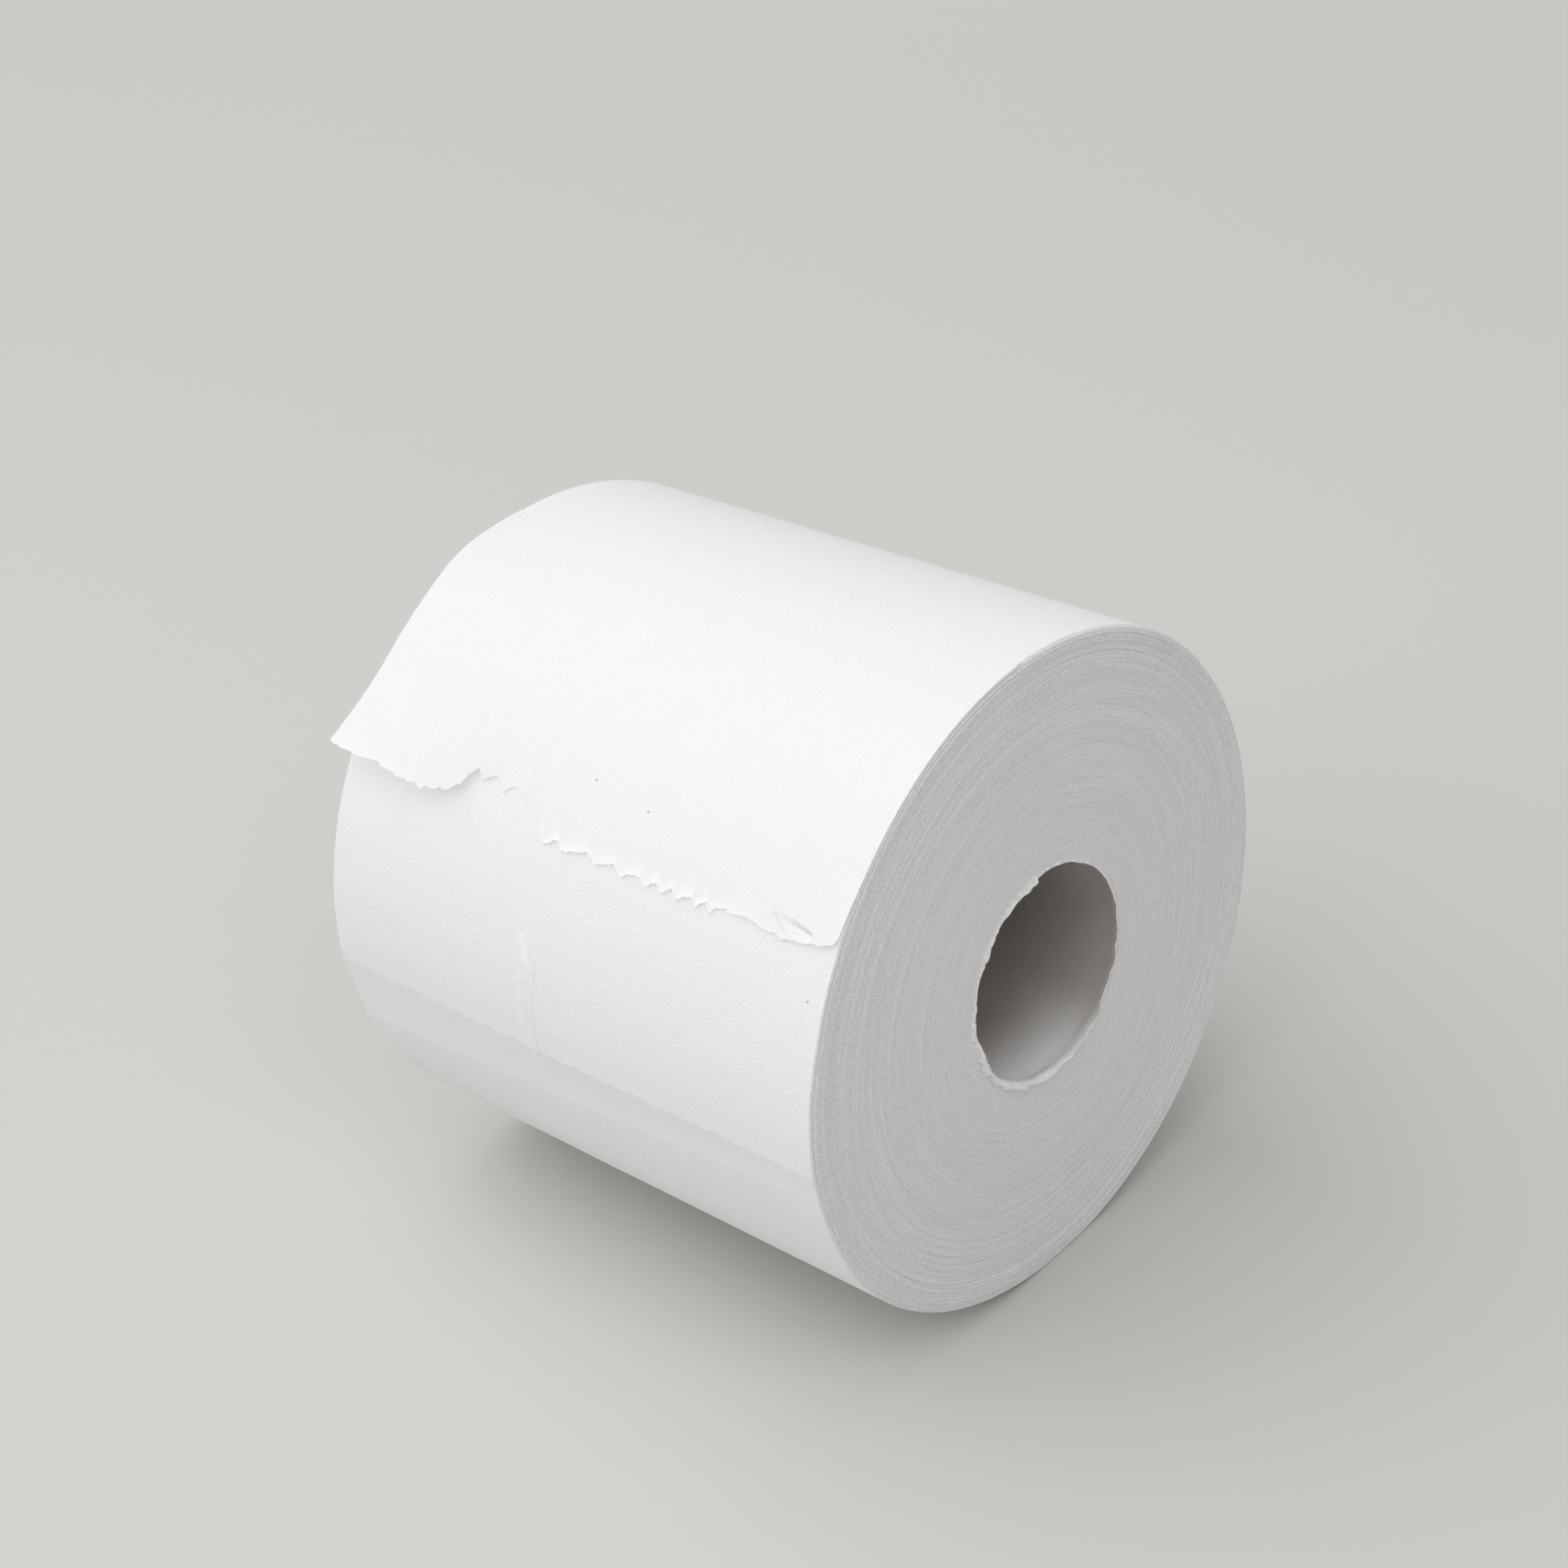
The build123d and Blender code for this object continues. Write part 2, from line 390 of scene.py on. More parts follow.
# Painted light low down near the mouths, together with the pale of the frayed paper there.
lit_mouth_share = fade(bore_tree, from_middle, half_web - lit_mouth_start, half_web - lit_mouth_full)
turned_angle = calculate(bore_tree, "ADD", bore_place["Angle"], frayed_turn)
lying_low = fade(bore_tree, calculate(bore_tree, "COSINE", turned_angle), -0.25, -1.0, 0.10, 1.0)
lit_mouth_share = calculate(bore_tree, "MULTIPLY", lit_mouth_share, lying_low)
bore_shaded_colour = mix_colours(bore_tree, lit_mouth_share, bore_shaded_colour, lip_and_lit_white)
finish_paper(bore_tree, bore_shader, bore_shaded_colour, bore_fibre["Height"], strength=0.6, depth=0.0004)

# The winding itself: a ridge for every turn follows one spiral on each end, and the first and last turns
# are swept along the axis as the bore and the outer face.
winding = bpy.data.node_groups.new("web_winding", "GeometryNodeTree")
winding.interface.new_socket("Geometry", in_out="OUTPUT", socket_type="NodeSocketGeometry")
winding_values = {
    "Web Width": ("NodeSocketFloat", web_width),
    "Bore Radius": ("NodeSocketFloat", bore_radius),
    "Roll Radius": ("NodeSocketFloat", roll_radius),
    "Turns": ("NodeSocketInt", turn_count),
    "Steps Per Turn": ("NodeSocketInt", steps_per_turn),
    "Wall Steps": ("NodeSocketInt", wall_steps),
    "Bore Steps": ("NodeSocketInt", bore_steps),
    "Turn Ridge": ("NodeSocketFloat", turn_ridge),
    "Root Angle": ("NodeSocketFloat", root_angle),
    "Axis Height": ("NodeSocketFloat", axis_height),
    "Weld": ("NodeSocketFloat", weld_distance),
    "Web": ("NodeSocketMaterial", web_material),
    "Cut Edges": ("NodeSocketMaterial", edge_material),
    "Bore": ("NodeSocketMaterial", bore_material),
}
winding_sockets = {
    name: winding.interface.new_socket(name, in_out="INPUT", socket_type=kind)
    for name, (kind, value) in winding_values.items()
}
size = add_node(winding, "NodeGroupInput").outputs
pitch = calculate(
    winding,
    "DIVIDE",
    calculate(winding, "SUBTRACT", size["Roll Radius"], size["Bore Radius"]),
    calculate(winding, "ADD", size["Turns"], 1.0),
)
half_pitch = calculate(winding, "MULTIPLY", pitch, 0.5)
half_width = calculate(winding, "MULTIPLY", size["Web Width"], 0.5)


def point(x=0.0, y=0.0, z=0.0):
    """Adds a point of the winding's tree from its three coordinates."""
    return add_node(winding, "ShaderNodeCombineXYZ", {0: x, 1: y, 2: z}).outputs[0]


def opposite(value):
    """Adds the negative of a value of the winding's tree."""
    return calculate(winding, "MULTIPLY", value, -1.0)


def sweep(path, profile):
    """Sweeps a profile along a flat path, its first axis outwards and its second along the roll."""
    upright = add_node(winding, "GeometryNodeSetCurveNormal", {"Curve": path}, mode="Z_UP").outputs[0]
    swept = add_node(winding, "GeometryNodeCurveToMesh", {"Curve": upright, "Profile Curve": profile})
    return swept.outputs[0]


def spiral(turns, first_radius, last_radius):
    """A flat spiral that climbs from one radius to another."""
    curve = add_node(
        winding,
        "GeometryNodeCurveSpiral",
        {
            "Resolution": size["Steps Per Turn"],
            "Rotations": turns,
            "Start Radius": first_radius,
            "End Radius": last_radius,
            "Height": 0.0,
            "Reverse": True,
        },
    )
    return curve.outputs[0]


def straight(start, end):
    """A straight line between two points."""
    return add_node(winding, "GeometryNodeCurvePrimitiveLine", {"Start": start, "End": end}).outputs[0]


def across_web(steps):
    """The width of the web as a line in even steps."""
    line = straight(point(0.0, opposite(half_width)), point(0.0, half_width))
    count = calculate(winding, "ADD", steps, 1.0)
    return add_node(winding, "GeometryNodeResampleCurve", {"Curve": line, "Count": count}).outputs[0]


def marked(geometry, name):
    """Marks the faces of a surface by name, so that they can be found again."""
    store = add_node(
        winding,
        "GeometryNodeStoreNamedAttribute",
        {"Geometry": geometry, "Name": name, "Value": True},
        data_type="BOOLEAN",
        domain="FACE",
    )
    return store.outputs[0]


ridge = add_node(
    winding,
    "GeometryNodeCurveQuadraticBezier",
    {
        "Resolution": 2,
        "Start": point(opposite(half_pitch)),
        "Middle": point(0.0, calculate(winding, "MULTIPLY", size["Turn Ridge"], -2.0)),
        "End": point(half_pitch),
    },
).outputs[0]
wall_profile = across_web(size["Wall Steps"])
bore_profile = across_web(size["Bore Steps"])
first_outside = calculate(winding, "ADD", size["Bore Radius"], pitch)
last_inside = calculate(winding, "SUBTRACT", size["Roll Radius"], pitch)
edge_spiral = spiral(
    size["Turns"],
    calculate(winding, "ADD", size["Bore Radius"], half_pitch),
    calculate(winding, "SUBTRACT", size["Roll Radius"], half_pitch),
)
turn_edges = marked(sweep(edge_spiral, ridge), "cut_edge")
right_end = add_node(
    winding, "GeometryNodeTransform", {"Geometry": turn_edges, "Translation": point(z=half_width)}
)
left_end = add_node(
    winding,
    "GeometryNodeTransform",
    {"Geometry": turn_edges, "Translation": point(z=opposite(half_width)), "Scale": (1, 1, -1)},
)
outer_face = sweep(spiral(1.0, last_inside, size["Roll Radius"]), wall_profile)
bore_wall = marked(sweep(spiral(1.0, size["Bore Radius"], first_outside), bore_profile), "bore_wall")
web_end = sweep(straight(point(last_inside), point(size["Roll Radius"])), wall_profile)
web_start = sweep(straight(point(size["Bore Radius"]), point(first_outside)), bore_profile)
web_end = marked(web_end, "web_step")
web_start = marked(marked(web_start, "bore_wall"), "web_step")
together = add_node(winding, "GeometryNodeJoinGeometry")
for surface in (right_end.outputs[0], left_end.outputs[0], outer_face, bore_wall, web_end, web_start):
    winding.links.new(surface, together.inputs[0])
root_turn = point(z=calculate(winding, "ADD", size["Root Angle"], math.pi / 2))
turned = add_node(winding, "GeometryNodeTransform", {"Geometry": together.outputs[0], "Rotation": root_turn})
laid_down = add_node(
    winding,
    "GeometryNodeTransform",
    {
        "Geometry": turned.outputs[0],
        "Translation": point(z=size["Axis Height"]),
        "Rotation": (math.pi / 2, 0, math.pi / 2),
    },
)
welded = add_node(
    winding, "GeometryNodeMergeByDistance", {"Geometry": laid_down.outputs[0], "Distance": size["Weld"]}
)
dressed = add_node(winding, "GeometryNodeRealizeInstances", {"Geometry": welded.outputs[0]}).outputs[0]
for slot_name, mark in (("Web", None), ("Cut Edges", "cut_edge"), ("Bore", "bore_wall")):
    coat = add_node(winding, "GeometryNodeSetMaterial", {"Geometry": dressed, "Material": size[slot_name]})
    if mark:
        chosen = add_node(winding, "GeometryNodeInputNamedAttribute", {"Name": mark}, data_type="BOOLEAN")
        winding.links.new(chosen.outputs[0], coat.inputs["Selection"])
    dressed = coat.outputs[0]
add_node(winding, "NodeGroupOutput", {0: dressed})

wound_roll = bpy.data.objects.new("wound_roll", bpy.data.meshes.new("wound_roll"))
bpy.context.scene.collection.objects.link(wound_roll)
winder = wound_roll.modifiers.new("winding", "NODES")
winder.node_group = winding
for name, (kind, value) in winding_values.items():
    winder[winding_sockets[name].identifier] = value
evaluated = wound_roll.evaluated_get(bpy.context.evaluated_depsgraph_get())
wound_mesh = bpy.data.meshes.new_from_object(evaluated)
wound_roll.modifiers.remove(winder)
wound_roll.data = wound_mesh


def close_mesh(mesh):
    """Welds a mesh, closes its small gaps and turns its faces outwards."""
    shell = bmesh.new()
    shell.from_mesh(mesh)
    bmesh.ops.remove_doubles(shell, verts=shell.verts, dist=weld_distance)
    bmesh.ops.holes_fill(shell, edges=[edge for edge in shell.edges if edge.is_boundary], sides=8)
    bmesh.ops.recalc_face_normals(shell, faces=shell.faces)
    shell.to_mesh(mesh)
    shell.free()


close_mesh(wound_mesh)

# Settling: the underside flattens, turns slip a little past each other, and the lips of the bore puff out
# below and fray above. A shallow facet along the lower front stays from the squeeze of the pack: the rows of
# the outer face slide round the roll until one lies along its crest and one along its foot, which runs askew.
facet_span = np.radians([84, 120])
facet_rows = np.radians([94, 102])
row_tolerance = 0.005
facet_crest_line = math.radians(93.2)
facet_foot_left = math.radians(107)
facet_foot_right = math.radians(98.5)
crest_angles = np.radians([58, 70, 82, 93, 118, 140, 165])
crest_profile = [0, 0.18, 0.70, 1, 1.25, 0.6, 0]
crest_height_left = 0.00045
crest_height_gain = 0.00040
slip_depth = 0.00030
rim_round = 0.00035
rim_border = 0.0016
lip_reach = 0.0006
lip_swell = 0.0010
lip_crest = 0.0005
mouth_reach = 0.0007
bite_depth = 0.0006
smooth_lip = 0.0022
unevenness_depth = 0.00004

places = np.empty(len(wound_mesh.vertices) * 3)
wound_mesh.vertices.foreach_get("co", places)
places = places.reshape(-1, 3)
along = places[:, 0].copy()
radius = np.hypot(places[:, 1], places[:, 2] - axis_height)
angle = np.arctan2(-places[:, 1], places[:, 2] - axis_height)


def waves(first, second, third, scale=1.0):
    """Smooth repeatable noise at many places."""
    spots = np.stack(np.broadcast_arrays(first, second, third), axis=-1) * scale
    values = [noise.noise(Vector(spot)) for spot in spots.reshape(-1, 3)]
    return np.array(values).reshape(spots.shape[:-1])


def ramp(values, start, end):
    """Share that goes from 0 to 1 as values run from start to end."""
    return np.clip((values - start) / (end - start), 0, 1)


def bell(values, middle, reach):
    """Share that is 1 at a middle value and falls off smoothly on both sides."""
    return np.exp(-(((values - middle) / reach) ** 2))


wound_share = np.mod(angle - root_angle, math.tau) / math.tau
rim_radius = roll_radius - turn_pitch * (1 - wound_share)
depth_share = ramp(radius, bore_radius, rim_radius)
from_left = ramp(along, -half_web, half_web)

# Facet: its crest wavers, and the rows between the ends of its span slide with the crest and the foot.
facet_foot = facet_foot_left + from_left * (facet_foot_right - facet_foot_left)
facet_crest = facet_crest_line + 0.008 * waves(along / 0.0040, 3.0, 0.5)
facet_crest = facet_crest + 0.007 * waves(along / 0.0024, 7.0, 0.5)
on_face = (np.abs(along) < half_web + weld_distance) & (depth_share > 0.999)
crest_edge = on_face & (np.abs(angle - facet_rows[0]) < row_tolerance)
foot_edge = on_face & (np.abs(angle - facet_rows[1]) < row_tolerance)
before_crest = (angle - facet_span[0]) / (facet_rows[0] - facet_span[0])
in_facet = (angle - facet_rows[0]) / (facet_rows[1] - facet_rows[0])
past_foot = (angle - facet_rows[1]) / (facet_span[1] - facet_rows[1])
slid = np.select(
    [(before_crest < 0) | (past_foot > 1), in_facet < 0, past_foot < 0],
    [
        angle,
        facet_span[0] + before_crest * (facet_crest - facet_span[0]),
        facet_crest + in_facet * (facet_foot - facet_crest),
    ],
    facet_foot + past_foot * (facet_span[1] - facet_foot),
)
angle = angle + depth_share**8 * (slid - angle)
facet_half = (facet_foot - facet_crest) / 2
facet_sag = np.maximum(facet_half**2 - (angle - facet_crest - facet_half) ** 2, 0) * roll_radius / 2
sag_share = np.interp(from_left, [0.4, 0.8], [0.8, 1.4])
below_crest = np.maximum(angle - facet_crest, 0)
crest_share = ramp(from_left, 0.0, 0.40)
crest_lean = np.radians(2.0 + 4.5 * crest_share)
crest_rise = np.interp(angle, crest_angles, crest_profile)
crest_rise = crest_rise * (crest_height_left + crest_height_gain * crest_share)
crest_rise = crest_rise - roll_radius * crest_lean * below_crest * np.exp(-below_crest / 0.25)
front_lift = crest_rise - sag_share * facet_sag

# Rows of the bore crowd towards its mouths, where the lips need them.
in_bore = (radius < bore_radius + 1.05 * turn_pitch) & (np.abs(along) < half_web - weld_distance)
mouth_depth = half_web * (1 - np.minimum(np.abs(along) / half_web, 1)) ** 1.8
along = np.where(in_bore, np.sign(along) * (half_web - mouth_depth), along)

# Flat spot: on the underside no turn reaches below the floor.
downwards = np.maximum(-np.cos(angle), 0.05)
floor_reach = np.where(downwards > 0.5, axis_height / downwards, 1.0)
rim_reach = np.minimum(rim_radius + front_lift, floor_reach)
settled = bore_radius + depth_share * (rim_reach - bore_radius)

# Ends: turns slip past each other, most near the rim, and the rim itself is rounded over.
side = np.sign(along)
round_x = np.sin(angle)
round_y = np.cos(angle)
end_share = np.clip(np.abs(along) / half_web, 0, 1) ** 40
ridge_height = np.maximum(np.abs(along) - half_web, 0)
turn_slip = waves(radius / 0.0022, round_x * 0.9, round_y * 0.9 + side * 5)
ring_slip = waves(radius / 0.0008, round_x * 0.3, round_y * 0.3 + side * 9)
slip = slip_depth * (0.6 * turn_slip + 0.7 * ring_slip) * (0.2 + 0.8 * depth_share**4)
rim_drop = rim_round * ramp(radius, rim_radius - rim_border, rim_radius) ** 2

# Lips of the bore: swollen and ruffled most low down, and bitten into high up towards the front.
into_face = radius - bore_radius
into_bore = np.maximum(half_web - np.abs(along), 0)
low_side = np.clip(-np.cos(angle + frayed_turn), 0, 1)
torn_side = np.clip(np.cos(angle - math.radians(40)), 0, 1) ** 4
uneven_lip = waves(round_x, round_y, side * 3, 3.1) + 0.5 * waves(round_x, round_y, side * 3, 9.0)
uneven_lip = uneven_lip + 0.6 * waves(round_x, round_y, side * 3, 15.0)
swell = lip_swell * np.clip(0.20 + 0.80 * low_side + 0.45 * uneven_lip, 0.1, None)
lip = swell * bell(into_face, lip_crest, lip_reach)
lip = lip * (1 + (0.5 + 0.5 * low_side) * waves(radius / 0.0007, round_x * 6, round_y * 6))
bites = torn_side * np.abs(np.sin(angle * 13 + uneven_lip)) ** 0.7
bites = bites * np.exp(-into_bore / 0.0015) * np.exp(-np.maximum(into_face, 0) / 0.0006)
mouth = swell * bell(into_bore, lip_crest, mouth_reach) * bell(into_face, 0, lip_reach) - bite_depth * bites

calm_root = 1 - bell(np.mod(angle - root_angle + math.pi, math.tau) - math.pi, 0, 0.14)
unevenness = unevenness_depth * depth_share * calm_root * waves(along * 60, round_x * 2.5, round_y * 2.5)
settled = settled - mouth + unevenness
settled = np.where(floor_reach < 1.0, np.minimum(settled, floor_reach), settled)
plain_along = np.minimum(np.abs(along), half_web)
flat_ridge = ridge_height * (0.3 + 0.9 * depth_share**4)
places[:, 0] = side * (plain_along + flat_ridge + end_share * (slip + lip - rim_drop))
places[:, 1] = -settled * np.sin(angle)
places[:, 2] = axis_height + settled * np.cos(angle)
wound_mesh.vertices.foreach_set("co", places.ravel())

# The ridges keep their edges, except at the lips, and so do the facet and the steps where the web begins and
# ends. All else is smooth.
steps = np.zeros(len(wound_mesh.polygons), dtype=bool)
wound_mesh.attributes["web_step"].data.foreach_get("value", steps)
cut_edge_slot = wound_mesh.materials.find(edge_material.name)
for face in wound_mesh.polygons:
    at_lip = math.hypot(face.center.y, face.center.z - axis_height) < bore_radius + smooth_lip
    face.use_smooth = (at_lip or face.material_index != cut_edge_slot) and not steps[face.index]
for edge in wound_mesh.edges:
    start, end = edge.vertices
    on_crest = crest_edge[start] and crest_edge[end]
    on_foot = foot_edge[start] and foot_edge[end]
    edge.use_edge_sharp = bool(on_crest or on_foot)
for mark in ("cut_edge", "bore_wall", "web_step"):
    wound_mesh.attributes.remove(wound_mesh.attributes[mark])
wound_mesh.update()
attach(wound_roll, "root")
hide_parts("paper_roll")


# Loose end
# The last stretch of the same web, which hangs over the front and was torn off by hand across its
# perforations. It lies on the roll, but its left corner stands up, its torn lip curls away from the roll, and
# a small crease is pressed into its right corner.

# A single sheet of tissue holds back about a third of the light that falls on it, so shadow and diffuse rays
# pass through it in part.
light_held_back = 0.34
loose_material = web_material.copy()
loose_material.name = "tissue_loose_end"
loose_tree = loose_material.node_tree
light_path = add_node(loose_tree, "ShaderNodeLightPath").outputs
soft_light = calculate(loose_tree, "MAXIMUM", light_path["Is Shadow Ray"], light_path["Is Diffuse Ray"])
seen_through = calculate(loose_tree, "MULTIPLY", soft_light, 1 - light_held_back)
sheet_cover = calculate(loose_tree, "SUBTRACT", 1.0, seen_through)
loose_tree.links.new(sheet_cover, loose_tree.nodes["Principled BSDF"].inputs["Alpha"])

# Torn edge from left to right: points in millimetres from the left edge and along the sheet from its root.
torn_scallop = [
    (0.0, 52.5), (4.0, 53.0), (8.0, 53.3), (11.0, 53.0), (14.0, 53.6), (18.0, 54.1),
    (22.0, 54.5), (25.0, 53.9), (27.0, 52.6), (28.6, 51.4), (28.9, 50.0), (30.6, 48.0),
]
torn_bites = [
    (31.7, 49.8), (34.1, 48.3), (35.3, 49.3), (36.6, 50.6), (38.1, 49.0),
    (40.6, 49.5), (41.7, 50.8), (42.7, 50.2), (44.7, 50.9), (46.6, 53.8),
]
tooth_tips = [47.8, 52.4, 59.8, 65.6, 71.0, 74.2, 77.6, 81.6, 84.6]
last_tooth_end = 87.0
tooth_slant = 0.72
tooth_tip_line = 56.0
tooth_root_line = 54.7
torn_plain = [
    (93.5, 54.6), (97.0, 55.2), (99.5, 55.6), (102.0, 55.0),
    (105.5, 54.5), (108.3, 54.0), (109.5, 53.0), (110.0, 51.8),
]
columns = 520
rows = 64
row_crowding = 1.7
overlap = 0.0025

teeth = []
for tip, next_tip in zip(tooth_tips, tooth_tips[1:] + [last_tooth_end]):
    teeth += [(tip, tooth_tip_line), (tip + tooth_slant * (next_tip - tip), tooth_root_line)]
torn_outline = np.array(torn_scallop + torn_bites + teeth + torn_plain) / 1000
across = np.linspace(0, web_width, columns + 1)
torn = np.interp(across, torn_outline[:, 0], torn_outline[:, 1])
fringed = ramp(np.abs(across - 0.024), 0.009, 0)
coarse_fray = 0.0003 + 0.0004 * fringed
fine_fray = 0.00012 + 0.0005 * fringed + 0.0002 * (across > 0.044)
torn = torn + coarse_fray * waves(across / 0.0013, 3.0, 0.5)
torn = torn + fine_fray * waves(across / 0.0007, 8.0, 0.5)

# The sheet is a grid of rows from its root, hidden in the roll, to the torn edge, where the rows crowd.
row_share = 1 - (1 - np.linspace(0, 1, rows + 1)) ** row_crowding
across_sheet = np.broadcast_to(across[None, :], (rows + 1, columns + 1))
down_sheet = -overlap + row_share[:, None] * (torn[None, :] + overlap)
from_tear = torn[None, :] - down_sheet

# Rise over the roll: the flicked corner at the left with a slack bulge above it, the curled lip of the teeth,
# the lifted right corner, a spot pressed flush beside the bites, and fine wrinkles along the tear.
sheet_thickness = 0.0003
lift_angle = math.radians(38)
flick_curve = 16.5
flick_reach = 0.035
settled_drop = 0.00034
slack_height = 0.0010
curl_height = 0.00040
curl_reach = 0.0030
corner_height = 0.0009
flush_drop = 0.00021
over_lift = np.maximum(down_sheet - (lift_angle - root_angle) * roll_radius, 0)
flick_share = np.clip(1 - (across_sheet / flick_reach) ** 2, 0, 1)
rise = flick_curve * over_lift**2 * flick_share
settling = ramp(down_sheet, 0, 0.040)
rise = rise - settled_drop * settling**2 * (3 - 2 * settling) * (1 - flick_share)
slack = bell(down_sheet, 0.0135, 0.009) * ramp(across_sheet, 0.03, 0) ** 2
rise = rise + slack_height * slack
toothed = ramp(across_sheet, 0.046, 0.049) * ramp(across_sheet, 0.100, 0.092)
lip_curl = ramp(from_tear, curl_reach, 0) ** 2 * toothed
rise = rise + curl_height * lip_curl * (0.8 + 0.5 * waves(across_sheet / 0.005, 1.0, 0.5))
corner = ramp(across_sheet, 0.090, 0.110) ** 1.5 * ramp(from_tear, 0.014, 0) ** 2
rise = rise + corner_height * corner
flush = ramp(np.abs(across_sheet - 0.0445), 0.0032, 0.0016) * ramp(from_tear, 0.010, 0)
rise = rise - flush_drop * flush
wrinkling = 0.00007 + 0.00008 * ramp(across_sheet, 0.035, 0)
rise = rise + wrinkling * np.exp(-from_tear / 0.007) * waves(across_sheet / 0.0024, down_sheet / 0.009, 2.5)

# Crease of the dog-ear: a slit, steep above and soft below, with a thin branch from its start to the tear.
crease_start = np.array([0.0968, 0.0523])
crease_end = np.array([0.1048, 0.0533])
crease_depth = 0.0008
branch_end = 0.0549
branch_lean = 0.0031
branch_depth = 0.00028
crease_run = crease_end - crease_start
crease_length = np.hypot(*crease_run)
past_start = across_sheet - crease_start[0]
under_start = down_sheet - crease_start[1]
crease_share = (past_start * crease_run[0] + under_start * crease_run[1]) / crease_length**2
below_crease = (under_start * crease_run[0] - past_start * crease_run[1]) / crease_length
open_share = ramp(crease_share, 0, 1) * ramp(crease_share, 1.04, 0.96)
slit = np.where(below_crease > 0, np.exp(-below_crease / 0.0006), np.exp(below_crease / 0.00015))
rise = rise - crease_depth * open_share * slit
branch_share = ramp(down_sheet, crease_start[1], branch_end)
on_branch = (branch_share > 0) & (down_sheet < branch_end)
from_branch = np.abs(past_start - branch_lean * branch_share)
rise = rise - branch_depth * on_branch * np.exp(-from_branch / 0.0002)

# Its root is sunk into the roll, it thins out at the tear, and its right edge closes on the turn below.
buried = -0.00006 + 0.00008 * ramp(down_sheet, -overlap, 0)
sheet_top = roll_radius + buried + np.where(down_sheet > 0, rise, 0)
sheet_angle = root_angle + down_sheet / roll_radius
thin = sheet_thickness * (0.35 + 0.65 * ramp(from_tear, 0, 0.0015))
turn_below = roll_radius - turn_pitch * (1 - down_sheet / roll_radius / math.tau)
closed_edge = ramp(across_sheet, web_width - 0.003, web_width - 0.001) * ramp(from_tear, 0.006, 0.012)
sheet_under = (sheet_top - thin) * (1 - closed_edge) + np.minimum(turn_below, sheet_top - thin) * closed_edge


def layer(top):
    """Places of one face of the sheet."""
    sideways = across_sheet - half_web
    return np.stack([sideways, -top * np.sin(sheet_angle), axis_height + top * np.cos(sheet_angle)], axis=2)


sheet_places = np.concatenate([layer(sheet_top).reshape(-1, 3), layer(sheet_under).reshape(-1, 3)])
per_layer = (rows + 1) * (columns + 1)
number = np.arange(per_layer).reshape(rows + 1, columns + 1)
corners = [number[:-1, :-1], number[1:, :-1], number[1:, 1:], number[:-1, 1:]]
top_faces = np.stack(corners, axis=2).reshape(-1, 4)
border = np.concatenate([number[0, :-1], number[:-1, -1], number[-1, :0:-1], number[:0:-1, 0]])
next_border = np.roll(border, -1)
side_faces = np.stack([border, next_border, next_border + per_layer, border + per_layer], axis=1)
sheet_faces = np.concatenate([top_faces, top_faces[:, ::-1] + per_layer, side_faces])
sheet_mesh = bpy.data.meshes.new("loose_end")
sheet_mesh.from_pydata(sheet_places.tolist(), [], sheet_faces.tolist())
sheet_mesh.materials.append(loose_material)
# Painted highlight along the torn lip where it curls up to the light: weaker on the flicked corner and at the
# right, none beside the bites.
lip_highlight_strength = np.interp(across_sheet, [0.028, 0.032, 0.045, 0.049, 0.086, 0.092], [0.4, 0, 0, 0.9, 0.9, 0.2])
lip_highlight_values = ramp(from_tear, 0.0019, 0) * lip_highlight_strength
lip_highlight_mark = sheet_mesh.attributes.new("torn_lip_highlight", "FLOAT", "POINT")
lip_highlight_mark.data.foreach_set("value", np.tile(lip_highlight_values.ravel(), 2))
close_mesh(sheet_mesh)
sheet_mesh.shade_smooth()
loose_end = bpy.data.objects.new("loose_end", sheet_mesh)
bpy.context.scene.collection.objects.link(loose_end)
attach(loose_end, "root")


# Studio
# A plain pale floor that the roll lies on, a large soft lamp high at the front left, a weaker one at the
# right, and even light from all round, seen from the photograph's viewing angle.

floor_half = 6.0
floor_corners = [(x * floor_half, y * floor_half, 0) for x, y in ((-1, -1), (1, -1), (1, 1), (-1, 1))]
floor_mesh = bpy.data.meshes.new("floor")
floor_mesh.from_pydata(floor_corners, [], [(0, 1, 2, 3)])
floor = bpy.data.objects.new("floor", floor_mesh)
bpy.context.scene.collection.objects.link(floor)
floor_material = bpy.data.materials.new("pale_floor")
floor_material.use_nodes = True
floor_tree = floor_material.node_tree
floor_shader = floor_tree.nodes["Principled BSDF"]
floor_shader.inputs["Base Color"].default_value = (0.62, 0.604, 0.578, 1)
floor_shader.inputs["Roughness"].default_value = 0.9
floor_mesh.materials.append(floor_material)

# Far from the roll, the floor that is seen runs out into an even backdrop of its own tone.
backdrop_tone = (0.60, 0.59, 0.57, 1)
backdrop_start = 0.25
backdrop_full = 1.1


def directly_seen(tree):
    """Adds a mask of the rays that show a background: the camera's, and those off gloss or through glass."""
    rays = add_node(tree, "ShaderNodeLightPath").outputs
    return combine(
        tree, "MAXIMUM", [rays["Is Glossy Ray"], rays["Is Transmission Ray"], rays["Is Camera Ray"]]
    )


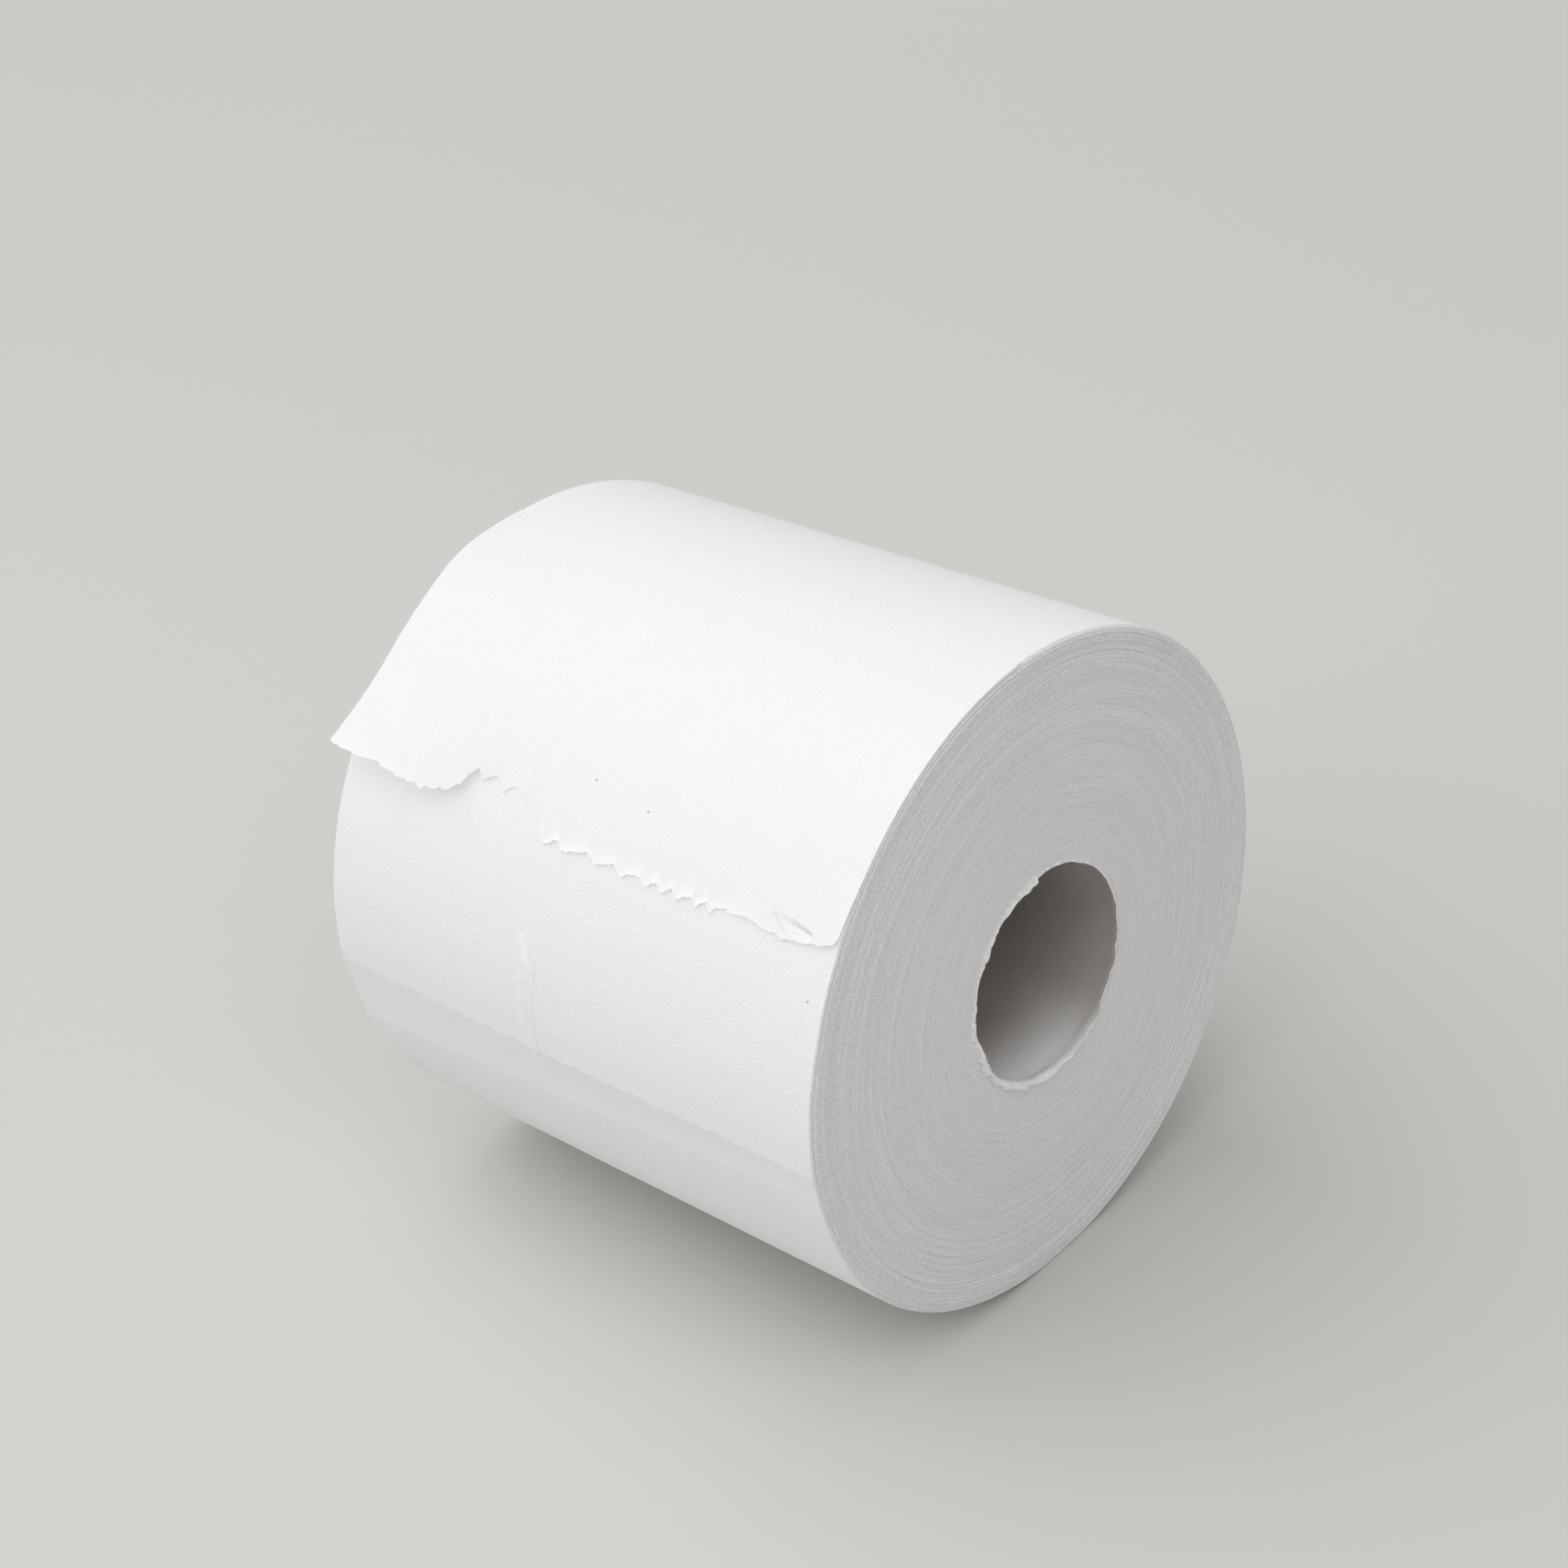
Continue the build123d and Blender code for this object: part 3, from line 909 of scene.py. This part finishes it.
floor_place = add_node(floor_tree, "ShaderNodeTexCoord").outputs["Object"]
from_roll = vector_math(floor_tree, "LENGTH", floor_place).outputs["Value"]
far_away = fade(floor_tree, from_roll, backdrop_start, backdrop_full)
backdrop_share = calculate(floor_tree, "MULTIPLY", far_away, directly_seen(floor_tree))
far_floor = add_node(floor_tree, "ShaderNodeEmission", {"Color": backdrop_tone})
floor_mix = add_node(
    floor_tree,
    "ShaderNodeMixShader",
    {0: backdrop_share, 1: floor_shader.outputs[0], 2: far_floor.outputs[0]},
)
floor_tree.links.new(floor_mix.outputs[0], floor_tree.nodes["Material Output"].inputs["Surface"])

world = bpy.data.worlds.new("studio")
world.use_nodes = True
world_tree = world.node_tree
even_light = world_tree.nodes["Background"]
even_light.inputs["Color"].default_value = (1.0, 1.0, 1.0, 1)
even_light.inputs["Strength"].default_value = 0.44
backdrop = add_node(world_tree, "ShaderNodeBackground", {"Color": backdrop_tone})
world_mix = add_node(
    world_tree,
    "ShaderNodeMixShader",
    {0: directly_seen(world_tree), 1: even_light.outputs[0], 2: backdrop.outputs[0]},
)
world_tree.links.new(world_mix.outputs[0], world_tree.nodes["World Output"].inputs["Surface"])
bpy.context.scene.world = world

roll_centre = Vector((0, 0, axis_height))


def soft_lamp(name, towards, away, width, power, colour):
    """Hangs a round soft lamp that faces the roll."""
    lamp = bpy.data.lights.new(name, "AREA")
    lamp.shape = "DISK"
    lamp.size = width
    lamp.energy = power
    lamp.color = colour
    lamp_object = bpy.data.objects.new(name, lamp)
    lamp_direction = Vector(towards).normalized()
    lamp_object.location = roll_centre + lamp_direction * away
    lamp_object.rotation_euler = lamp_direction.to_track_quat("Z", "Y").to_euler()
    bpy.context.scene.collection.objects.link(lamp_object)


soft_lamp(
    "soft_key", towards=(-0.40, -0.40, 0.82), away=2.0, width=4.2, power=50.0, colour=(0.985, 0.995, 1.0)
)
soft_lamp(
    "soft_fill", towards=(0.58, -0.24, 0.78), away=1.5, width=0.8, power=3.0, colour=(1.0, 0.985, 0.975)
)

camera_place = roll_centre + Vector((0.3003, -0.3071, 0.2744))
camera_heading = math.radians(44.39)
camera_pitch = math.radians(-30.72)
camera_roll = math.radians(-6.40)
camera = bpy.data.cameras.new("camera")
camera.sensor_width = 36.0
camera.lens = 66.34
camera_object = bpy.data.objects.new("camera", camera)
camera_turn = (
    Matrix.Rotation(camera_heading, 4, "Z")
    @ Matrix.Rotation(math.pi / 2 + camera_pitch, 4, "X")
    @ Matrix.Rotation(camera_roll, 4, "Z")
)
camera_object.matrix_world = Matrix.Translation(camera_place) @ camera_turn
bpy.context.scene.collection.objects.link(camera_object)
bpy.context.scene.camera = camera_object
bpy.context.scene.view_settings.view_transform = "Standard"
